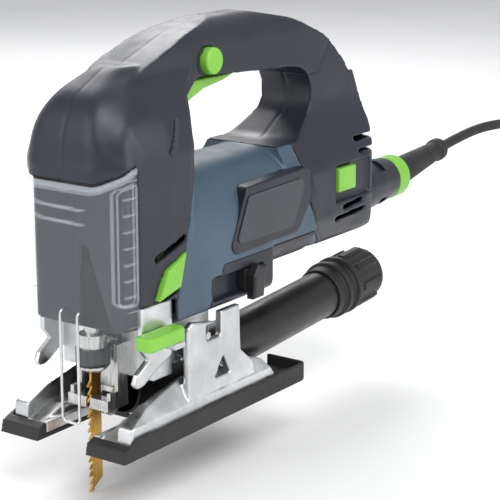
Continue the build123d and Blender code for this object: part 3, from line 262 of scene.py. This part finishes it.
def soft_rubber(name, colour, rough=0.62):
    """Dull rubber or PVC: tiny pits and a slightly lighter bloom."""
    tree = Tree(name)
    tone = tree.colours(tree.noise(45, 5), shade(colour, 0.8), shade(colour, 1.5))
    tree.join(tone, tree.shader.inputs["Base Color"])
    tree.join(tree.ramp(tree.noise(120, 4), rough - 0.1, rough + 0.12), tree.shader.inputs["Roughness"])
    tree.join(tree.bump(tree.noise(1200, 3), 0.05, 0.6), tree.shader.inputs["Normal"])
    return tree.material


def clear_plastic(name, tint, see_through, rough=0.2):
    """Clear moulded plastic with faint scuffs; the lower the alpha, the more it lets through."""
    tree = Tree(name)
    tree.join(tree.colours(tree.noise(30, 3), shade(tint, 0.9), tint), tree.shader.inputs["Base Color"])
    tree.join(tree.ramp(tree.noise(160, 6), rough - 0.05, rough + 0.12), tree.shader.inputs["Roughness"])
    tree.join(tree.bump(tree.noise(60, 2), 0.08, 0.2), tree.shader.inputs["Normal"])
    tree.shader.inputs["Alpha"].default_value = see_through
    return tree.material


def wound_copper(name):
    """Enamelled copper wire, laid side by side."""
    tree = Tree(name)
    wave = tree.add("ShaderNodeTexWave")
    wave.inputs["Scale"].default_value = 180
    wave.inputs["Distortion"].default_value = 1.5
    tree.join(tree.place(), wave.inputs["Vector"])
    tone = tree.colours(wave.outputs["Fac"], (0.30, 0.10, 0.03), (0.75, 0.33, 0.14), 0.1, 0.8)
    tree.join(tone, tree.shader.inputs["Base Color"])
    tree.join(tree.bump(wave.outputs["Fac"], 0.4, 0.8), tree.shader.inputs["Normal"])
    tree.join(tree.ramp(tree.noise(80), 0.25, 0.42), tree.shader.inputs["Roughness"])
    tree.shader.inputs["Metallic"].default_value = 0.8
    return tree.material


FINISHES = {}


def make_finishes(colours):
    dark = tuple(colours.shell)
    cast = tuple(colours.casting)
    lime = tuple(colours.controls)
    black = tuple(colours.black)
    guard = tuple(colours.guard)
    FINISHES.update({
        "shell_dark": moulded("shell_dark", dark, 0.40, 0.05),
        "shell_blue": moulded("shell_blue", tuple(colours.motor), 0.42, 0.05),
        "panel_dark": moulded("panel_dark", shade(dark, 0.7), 0.34, 0.03),
        "lime": moulded("lime_plastic", lime, 0.32, 0.03, 0.08),
        "black": moulded("black_plastic", black, 0.36, 0.04),
        "black_matt": moulded("black_matt", shade(black, 1.3), 0.52, 0.06),
        # painted shade: a near-black dull finish for the head's vent grooves, the band under the dome's edge
        # and the nose hollow, where shade falls
        "deep_slot": soft_rubber("deep_slot", (0.0015, 0.0015, 0.002), 0.8),
        "clear": clear_plastic("clear_guard", guard, 0.06),
        # lighter tint and more opaque: partly matt frosting on the rim and ribs, partly a painted highlight
        # standing in for their edge glints
        "frosted_and_highlit": clear_plastic("frosted_guard", shade(guard, 1.25), 0.26, 0.34),
        "cast": cast_metal("cast_alloy", cast, 0.33),
        "steel": brushed("ground_steel", (0.60, 0.60, 0.59), 0.24),
        "wire": brushed("steel_wire", (0.70, 0.70, 0.69), 0.18),
        "blade": brushed("gilded_blade", tuple(colours.blade), 0.30, (1, 1, 0.05), 700),
        "bronze": brushed("sintered_bronze", (0.50, 0.32, 0.15), 0.40, (1, 1, 1), 1200),
        "copper": wound_copper("wound_copper"),
        "carbon": soft_rubber("carbon", (0.02, 0.02, 0.02), 0.5),
        "cord": soft_rubber("cord_rubber", (0.011, 0.011, 0.012)),
        "plate": moulded("name_plate", (0.030, 0.034, 0.042), 0.28, 0.02, 0.05),
        "brass": brushed("plug_brass", (0.72, 0.55, 0.28), 0.22),
    })


NODES_BY_FINISH = {
    "cast": ("gear_case",),
    "steel": (
        "steel_pins", "gear_axle", "guide_jaws", "front_bearing", "rear_bearing", "housing_screws",
        "trigger_pin", "swing_guide", "plunger", "blade_clamp", "drive_gear", "crank_roller",
        "counterweight", "armature_shaft", "orbit_arm", "guide_roller",
    ),
    "wire": ("finger_guard",),
    "bronze": ("bush_upper", "bush_lower", "brush_holders"),
    "copper": ("armature_core", "commutator", "field_stator"),
    "carbon": ("carbon_brushes",),
    "black": ("clamp_collar", "orbit_lever"),
    "black_matt": ("fan", "switch_module", "electronics_module", "bearing_plate", "cord_tie"),
    "blade": ("blade",),
    "brass": ("plug_pins",),
    "plate": ("nameplates",),
}

# piece, CAD nodes, face size in mm, smoothing passes, finish
EASED_CONTROLS = (
    ("trigger_grip", ("trigger",), 0.5, 8, "lime"),
    ("lock_on_button", ("lock_button",), 0.4, 3, "lime"),
    ("clamp_release_button", ("release_button",), 0.4, 3, "lime"),
    ("sole_release_lever", ("release_lever",), 0.45, 12, "lime"),
    ("speed_slide", ("side_switch",), 0.4, 2, "lime"),
    ("plug_lock_ring", ("lock_ring",), 0.4, 2, "lime"),
)
EASED_CASTINGS = (
    ("cast_sole", ("sole_casting",), 0.65, 2, "cast"),
    ("cast_foot", ("gear_foot",), 0.55, 2, "cast"),
)
EASED_MOULDINGS = (
    ("clip_on_shoe", ("sole_shoe",), 0.75, 2, "black_matt"),
    ("suction_duct", ("dust_duct",), 1.0, 3, "black"),
    ("suction_coupling", ("hose_coupling",), 0.55, 2, "black_matt"),
    ("lead_socket", ("socket_collar",), 0.45, 2, "panel_dark"),
    ("lead_plug", ("plug_body",), 0.45, 2, "black_matt"),
    ("bend_sleeve", ("cord_boot",), 0.4, 1, "cord"),
    ("wall_plug", ("mains_plug",), 0.6, 3, "cord"),
    ("flank_panels", ("side_panels",), 0.5, 2, "panel_dark"),
)


def finish_nodes():
    for finish, nodes in NODES_BY_FINISH.items():
        for node in nodes:
            shape = frame["nodes"][node]
            if not shape.material_slots:
                shape.data.materials.append(FINISHES[finish])
            for place in shape.material_slots:
                place.link = "OBJECT"
                place.material = FINISHES[finish]


# ---------------------------------------------------------------- moulded skins
def evaluated(shape):
    """The mesh that a shape's modifiers give."""
    graph = bpy.context.evaluated_depsgraph_get()
    return bpy.data.meshes.new_from_object(shape.evaluated_get(graph), depsgraph=graph)


def skin(name, nodes, grain_mm, softness, finish):
    """A moulded or cast skin over CAD solids: fine even faces with every edge eased."""
    mesh = bpy.data.meshes.new(name)
    work = bmesh.new()
    for node in nodes:
        work.from_mesh(frame["nodes"][node].data)
    bmesh.ops.remove_doubles(work, verts=work.verts, dist=1e-6)
    work.to_mesh(mesh)
    work.free()
    shape = bpy.data.objects.new(name, mesh)
    bpy.context.scene.collection.objects.link(shape)
    remesh = shape.modifiers.new("even", "REMESH")
    remesh.mode = "VOXEL"
    remesh.voxel_size = grain_mm * MM
    ease = shape.modifiers.new("ease", "SMOOTH")
    ease.factor = 0.5
    ease.iterations = softness
    shape.data = evaluated(shape)
    shape.modifiers.clear()
    shape.data.polygons.foreach_set("use_smooth", np.ones(len(shape.data.polygons), dtype=bool))
    shape.data.materials.clear()
    shape.data.materials.append(FINISHES[finish])
    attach(shape, frame["nodes"][nodes[0]].parent.name.removeprefix("body:"))
    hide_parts(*nodes)
    return shape


def points_of(shape):
    mesh = shape.data
    places = np.empty(len(mesh.vertices) * 3)
    mesh.vertices.foreach_get("co", places)
    normals = np.empty(len(mesh.vertices) * 3)
    mesh.vertex_normals.foreach_get("vector", normals)
    return places.reshape(-1, 3) / MM, normals.reshape(-1, 3)


def move_points(shape, places):
    shape.data.vertices.foreach_set("co", (places * MM).ravel())
    shape.data.update()


def step(value, start, stop):
    share = np.clip((value - start) / (stop - start), 0, 1)
    return share * share * (3 - 2 * share)


def line_distance(y, z, points):
    """How far places in side view lie from a chain of straight lines."""
    best = np.full(y.shape, 1e9)
    for (y0, z0), (y1, z1) in zip(points, points[1:]):
        span = (y1 - y0) ** 2 + (z1 - z0) ** 2
        along = np.clip(((y - y0) * (y1 - y0) + (z - z0) * (z1 - z0)) / span, 0, 1)
        best = np.minimum(best, np.hypot(y - y0 - along * (y1 - y0), z - z0 - along * (z1 - z0)))
    return best


def groove(places, normals, distance, width, depth, mask=True):
    """Presses a rounded groove into the skin where a distance is small."""
    amount = (1 - step(distance, width * 0.35, width)) * depth * mask
    return places - normals * amount[:, None]


def face_middles(shape):
    middles = np.empty(len(shape.data.polygons) * 3)
    shape.data.polygons.foreach_get("center", middles)
    return middles.reshape(-1, 3) / MM


def second_finish(shape, finish, where):
    """Gives the faces where a test holds a second finish."""
    shape.data.materials.append(FINISHES[finish])
    shape.data.polygons.foreach_set("material_index", where.astype(np.int32))


# ---------------------------------------------------------------- lead
def coil_seat(turn):
    """Radius and height of one turn: down the outer column, up the next, and so on."""
    column, layer = divmod(turn, COIL_LAYERS)
    if column % 2:
        layer = COIL_LAYERS - 1 - layer
    return COIL_RADII[column], COIL_TOP_Z - layer * COIL_LAYER_STEP


def lead_points():
    """The lead's line: down from its bend sleeve, round the coil and up into the plug."""
    points = list(CORD_ROUTE)
    last_turn = len(COIL_RADII) * COIL_LAYERS - 1
    for k in range((last_turn + 1) * POINTS_PER_TURN):
        turn, part = divmod(k, POINTS_PER_TURN)
        along = part / POINTS_PER_TURN
        radius, height = coil_seat(turn)
        if turn < last_turn:
            next_radius, next_height = coil_seat(turn + 1)
            share = step(along, 0.7, 1.0)
        else:
            next_radius, next_height = radius + 0.75, PLUG_ENTRY[2]
            share = max(0.0, (along - 0.35) / 0.65) ** 1.3
        radius += (next_radius - radius) * share
        height += (next_height - height) * share
        angle = 2 * math.pi * along
        points.append((
            COIL_CENTRE[0] + radius * math.cos(angle), COIL_CENTRE[1] + radius * math.sin(angle), height,
        ))
    points.append(PLUG_ENTRY)
    return points


def make_lead(sizes):
    points = lead_points()
    curve = bpy.data.curves.new("mains_lead", "CURVE")
    curve.dimensions = "3D"
    curve.bevel_depth = sizes.lead_diameter / 2
    curve.bevel_resolution = 5
    curve.resolution_u = 6
    spline = curve.splines.new("NURBS")
    spline.points.add(len(points) - 1)
    for control, place in zip(spline.points, points):
        control.co = (*(value * MM for value in place), 1)
    spline.order_u = 3
    spline.use_endpoint_u = True
    lead = bpy.data.objects.new("mains_lead", curve)
    bpy.context.scene.collection.objects.link(lead)
    curve.materials.append(FINISHES["cord"])
    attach(lead, "housing")
    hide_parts("cord_tube", "cord_coil")


# ---------------------------------------------------------------- shells
def seam(places, normals, distance, sizes):
    return groove(places, normals, distance, sizes.seam_width / MM, sizes.seam_depth / MM)


NOSE_CAVITY_DEPTH = 0.35  # the swing guide passes close behind it
NOSE_CAVITY_FOOT_Z = 62
NOSE_CAVITY_HEIGHT = 42


def nose_cavity(places):
    """Share of full depth at each place in the tapering hollow of the head's recessed front."""
    x, y, z = places.T
    height = np.clip((z - NOSE_CAVITY_FOOT_Z) / NOSE_CAVITY_HEIGHT, 0, 1)
    left_edge = 3.0 + 1.5 * height
    right_edge = 24 - 15 * height
    inside = step(x, left_edge - 0.8, left_edge + 0.8) * (1 - step(x, right_edge - 2.5, right_edge))
    return inside * (1 - step(z, NOSE_CAVITY_FOOT_Z + 38, NOSE_CAVITY_FOOT_Z + NOSE_CAVITY_HEIGHT)) * (y < -5)


def sink_nose_cavity(places):
    places = places.copy()
    places[:, 1] += nose_cavity(places) * NOSE_CAVITY_DEPTH
    return places


def make_head(sizes):
    halves = ("head_shell_left", "head_shell_right")
    shape = skin("head_shells", halves, sizes.shell_grain / MM, 3, "shell_dark")
    places, normals = points_of(shape)
    x, y, z = places.T
    changed = seam(places, normals, np.abs(x), sizes)
    changed = seam(changed, normals, line_distance(y, z, HEAD_SEAM), sizes)
    outward = np.abs(normals[:, 0]) > 0.25
    changed = groove(changed, normals, line_distance(y, z, GRIP_VENT), 1.7, 1.5, outward)
    flank = step(np.abs(x), 14, 24) * step(z, 140, 148) * step(np.abs(normals[:, 0]), 0.2, 0.5)
    changed = groove(changed, normals, line_distance(y, z, CHEEK_CREASE), 9, sizes.crease_depth / MM, flank)
    ring = np.abs(np.hypot(y - LOCK_BUTTON_AXIS[0], z - LOCK_BUTTON_AXIS[1]) - LOCK_BUTTON_R - 1.6)
    changed = groove(changed, normals, ring, 1.1, 0.8, outward & (x > 8))
    move_points(shape, sink_nose_cavity(changed))
    middles = face_middles(shape)
    # Painted shade: faces in the side vent, in a thin band along the guard's rim line under the dome's edge,
    # and deep in the nose hollow get the near-black finish where shade falls.
    vent_shade = (line_distance(middles[:, 1], middles[:, 2], GRIP_VENT) < 1.0) & (np.abs(middles[:, 0]) > 12)
    rim_shadow_band = (middles[:, 1] < -2) & (np.abs(rim_drop(middles[:, 1], middles[:, 2]) + 0.4) < 1.3)
    second_finish(shape, "deep_slot", vent_shade | rim_shadow_band | (nose_cavity(middles) > 0.5))


def make_rear(sizes):
    halves = ("rear_shell_left", "rear_shell_right")
    shape = skin("rear_shells", halves, sizes.shell_grain / MM, 3, "shell_dark")
    places, normals = points_of(shape)
    x, y, z = places.T
    changed = seam(places, normals, np.abs(x), sizes)
    for line in (REAR_SEAM, GRIP_SEAM):
        changed = seam(changed, normals, line_distance(y, z, line), sizes)
    move_points(shape, changed)


def make_motor(sizes):
    shape = skin("motor_shell", ("motor_housing",), sizes.shell_grain / MM, 3, "shell_blue")
    places, normals = points_of(shape)
    x, y, z = places.T
    changed = seam(places, normals, line_distance(y, z, REAR_SEAM), sizes)
    move_points(shape, changed)


def make_lower_cover(sizes):
    shape = skin("lower_shell", ("lower_cover",), 0.8, 2, "panel_dark")
    places, normals = points_of(shape)
    move_points(shape, seam(places, normals, np.abs(places[:, 0]), sizes))


# ---------------------------------------------------------------- guard
RIM_Z = 132.5
RIM_SLOPE = 0.5
RIM_FRONT_Y = -19.5
RIB_TOPS = (121.5, 114.5)
# Frame of the side window in side view (y, z)
GUARD_WINDOW = [
    (-13, 76), (-13, 129), (-11.5, 131), (-3.5, 133), (-3, 131), (-3, 76), (-4.5, 74), (-11.5, 74), (-13, 76),
]
SIDE_RIB_X = 31.2
SIDE_RIB_FIRST_Z = 78.6
SIDE_RIB_STEP = 8


def rim_drop(y, z):
    """How far a place on the guard lies below its rim."""
    return RIM_Z + RIM_SLOPE * (y - RIM_FRONT_Y) - z


def guard_lines(places):
    """Distance of each place on the guard to its nearest rib, frame or notch line."""
    x, y, z = places.T
    front = np.abs(x) < 25
    nearest = np.full(len(x), 1e9)
    for top in RIB_TOPS:
        sweep = [(-26, top + 5.5), (-19, top + 1.2), (-12, top - 0.4), (13, top - 0.6)]
        nearest = np.minimum(nearest, np.where(front & (y < -10), line_distance(x, z, sweep), 1e9))
    notch = [(-3.2, 136), (-3.2, 129.6), (3.2, 129.6), (3.2, 136)]
    nearest = np.minimum(nearest, np.where(front & (y < -10), line_distance(x, z, notch), 1e9))
    return np.minimum(nearest, np.where(np.abs(x) > 24, line_distance(y, z, GUARD_WINDOW), 1e9))


def make_guard(sizes):
    shape = skin("clear_guard_shell", ("chip_guard",), 0.5, 8, "clear")
    places, normals = points_of(shape)
    x, y, z = places.T
    outward = (normals[:, 1] < -0.2) | (normals[:, 0] * np.sign(x) > 0.3)
    lines = guard_lines(places)
    rise = (1 - step(lines, 0.35, 0.9)) * (sizes.guard_rib / MM)
    rise = np.maximum(rise, (1 - step(rim_drop(y, z), 3.0, 3.8)) * 0.4) * outward
    move_points(shape, places + normals * rise[:, None])
    middles = face_middles(shape)
    # Rim, notch, rib and window-frame faces get the lighter, more opaque finish: partly matt frosting, partly
    # a painted highlight along these edges.
    frosted_and_highlit = (rim_drop(middles[:, 1], middles[:, 2]) < 3.2) | (guard_lines(middles) < 0.55)
    past_rib = np.abs((middles[:, 2] - SIDE_RIB_FIRST_Z) % SIDE_RIB_STEP)
    ribs = (np.abs(middles[:, 0]) > SIDE_RIB_X) & (past_rib < 0.9)
    second_finish(shape, "frosted_and_highlit", frosted_and_highlit | ribs)


# ---------------------------------------------------------------- stage
LIGHTS = (
    # name, place, width, watts
    ("key", (0.9, -0.5, 1.5), 1.1, 20),
    ("fill", (-0.6, -1.5, 0.8), 1.2, 10),
    ("rim", (-0.9, 0.9, 1.1), 0.9, 14),
    ("side", (1.6, 0.5, 0.5), 0.9, 8),
)
LIGHT_AIM = Vector((0, 0.1, 0.09))


def make_camera():
    camera = bpy.data.objects.new("camera", bpy.data.cameras.new("camera"))
    camera.data.lens = LENS
    camera.data.sensor_width = 36
    camera.data.clip_start = 0.01
    camera.location = CAMERA_PLACE
    camera.rotation_euler = (math.pi / 2 - VIEW_ELEVATION, 0, VIEW_AZIMUTH)
    bpy.context.scene.collection.objects.link(camera)
    bpy.context.scene.camera = camera


def make_floor():
    """A wide pale floor, which fills the view behind the tool as well."""
    half = 8.0
    corners = [(x, y, FLOOR_Z) for x, y in ((-half, -half), (half, -half), (half, half), (-half, half))]
    mesh = bpy.data.meshes.new("floor")
    mesh.from_pydata(corners, [], [(0, 1, 2, 3)])
    floor = bpy.data.objects.new("floor", mesh)
    bpy.context.scene.collection.objects.link(floor)
    tree = Tree("pale_floor")
    tone = tree.colours(tree.noise(3, 3), (0.84, 0.84, 0.84), (0.88, 0.88, 0.88))
    tree.join(tone, tree.shader.inputs["Base Color"])
    tree.shader.inputs["Roughness"].default_value = 0.7
    mesh.materials.append(tree.material)


def make_lights():
    for name, place, width, power in LIGHTS:
        light = bpy.data.lights.new(name, "AREA")
        light.size = width
        light.energy = power
        lamp = bpy.data.objects.new(name, light)
        lamp.location = place
        lamp.rotation_euler = (LIGHT_AIM - Vector(place)).to_track_quat("-Z", "Y").to_euler()
        bpy.context.scene.collection.objects.link(lamp)
    world = bpy.data.worlds.new("studio")
    world.use_nodes = True
    world.node_tree.nodes["Background"].inputs["Color"].default_value = (0.93, 0.94, 0.96, 1)
    world.node_tree.nodes["Background"].inputs["Strength"].default_value = 0.6
    bpy.context.scene.world = world
    bpy.context.scene.view_settings.view_transform = "Standard"


# ---------------------------------------------------------------- operators
class JIGSAW_OT_stage(bpy.types.Operator):
    """Sets up the camera, the pale floor and the soft studio lights"""

    bl_idname = "jigsaw.stage"
    bl_label = "Stage"

    def execute(self, context):
        make_camera()
        make_floor()
        make_lights()
        return {"FINISHED"}


class JIGSAW_OT_finishes(bpy.types.Operator):
    """Mixes the finishes and puts them on the pieces carried over from the frame"""

    bl_idname = "jigsaw.finishes"
    bl_label = "Finishes"

    def execute(self, context):
        make_finishes(context.scene.jigsaw_colours)
        finish_nodes()
        return {"FINISHED"}


class JIGSAW_OT_mouldings(bpy.types.Operator):
    """Eases the shoe, duct, coupling, panels, lead socket, sleeve and plugs"""

    bl_idname = "jigsaw.mouldings"
    bl_label = "Black mouldings"

    def execute(self, context):
        for piece in EASED_MOULDINGS:
            skin(*piece)
        return {"FINISHED"}


class JIGSAW_OT_lead(bpy.types.Operator):
    """Runs the mains lead from its sleeve, through the tied coil, to the plug"""

    bl_idname = "jigsaw.lead"
    bl_label = "Mains lead"

    def execute(self, context):
        make_lead(context.scene.jigsaw_sizes)
        return {"FINISHED"}


class JIGSAW_OT_head(bpy.types.Operator):
    """Moulds the head's dark shells with their joint line, vents and crease"""

    bl_idname = "jigsaw.head"
    bl_label = "Head shells"

    def execute(self, context):
        make_head(context.scene.jigsaw_sizes)
        return {"FINISHED"}


class JIGSAW_OT_rear(bpy.types.Operator):
    """Moulds the handle and rear shells with their joint lines"""

    bl_idname = "jigsaw.rear"
    bl_label = "Handle and rear shells"

    def execute(self, context):
        make_rear(context.scene.jigsaw_sizes)
        return {"FINISHED"}


class JIGSAW_OT_motor(bpy.types.Operator):
    """Moulds the blue motor housing and the cover below it"""

    bl_idname = "jigsaw.motor"
    bl_label = "Motor housing"

    def execute(self, context):
        make_motor(context.scene.jigsaw_sizes)
        make_lower_cover(context.scene.jigsaw_sizes)
        return {"FINISHED"}


class JIGSAW_OT_guard(bpy.types.Operator):
    """Moulds the clear guard with its side windows; its rim and ribs get a lighter, more opaque finish,
    partly matt frosting and partly a painted highlight
    """

    bl_idname = "jigsaw.guard"
    bl_label = "Clear guard"

    def execute(self, context):
        make_guard(context.scene.jigsaw_sizes)
        return {"FINISHED"}


class JIGSAW_OT_controls(bpy.types.Operator):
    """Eases the trigger, buttons, levers and lock ring"""

    bl_idname = "jigsaw.controls"
    bl_label = "Controls"

    def execute(self, context):
        for piece in EASED_CONTROLS:
            skin(*piece)
        return {"FINISHED"}


class JIGSAW_OT_castings(bpy.types.Operator):
    """Eases the cast sole and the foot of the gear case"""

    bl_idname = "jigsaw.castings"
    bl_label = "Castings"

    def execute(self, context):
        for piece in EASED_CASTINGS:
            skin(*piece)
        return {"FINISHED"}


class JIGSAW_PT_panel(bpy.types.Panel):
    """Lists the operators, sizes and colours of the jigsaw"""

    bl_idname = "JIGSAW_PT_panel"
    bl_label = "Jigsaw"
    bl_space_type = "VIEW_3D"
    bl_region_type = "UI"
    bl_category = "Jigsaw"

    def draw(self, context):
        layout = self.layout
        for operator in OPERATORS:
            layout.operator(operator.bl_idname)
        for group in (context.scene.jigsaw_sizes, context.scene.jigsaw_colours):
            box = layout.box()
            for name in group.__annotations__:
                box.prop(group, name)


OPERATORS = (
    JIGSAW_OT_stage, JIGSAW_OT_finishes, JIGSAW_OT_mouldings, JIGSAW_OT_lead, JIGSAW_OT_head,
    JIGSAW_OT_rear, JIGSAW_OT_motor, JIGSAW_OT_guard, JIGSAW_OT_controls, JIGSAW_OT_castings,
)
CLASSES = (JigsawSizes, JigsawColours, *OPERATORS, JIGSAW_PT_panel)


def register():
    for kind in CLASSES:
        bpy.utils.register_class(kind)
    bpy.types.Scene.jigsaw_sizes = PointerProperty(type=JigsawSizes)
    bpy.types.Scene.jigsaw_colours = PointerProperty(type=JigsawColours)


def unregister():
    del bpy.types.Scene.jigsaw_colours
    del bpy.types.Scene.jigsaw_sizes
    for kind in reversed(CLASSES):
        bpy.utils.unregister_class(kind)


def main():
    register()
    bpy.ops.jigsaw.stage()
    bpy.ops.jigsaw.finishes()
    bpy.ops.jigsaw.mouldings()
    bpy.ops.jigsaw.lead()
    bpy.ops.jigsaw.head()
    bpy.ops.jigsaw.rear()
    bpy.ops.jigsaw.motor()
    bpy.ops.jigsaw.guard()
    bpy.ops.jigsaw.controls()
    bpy.ops.jigsaw.castings()


if __name__ == "__main__":
    main()
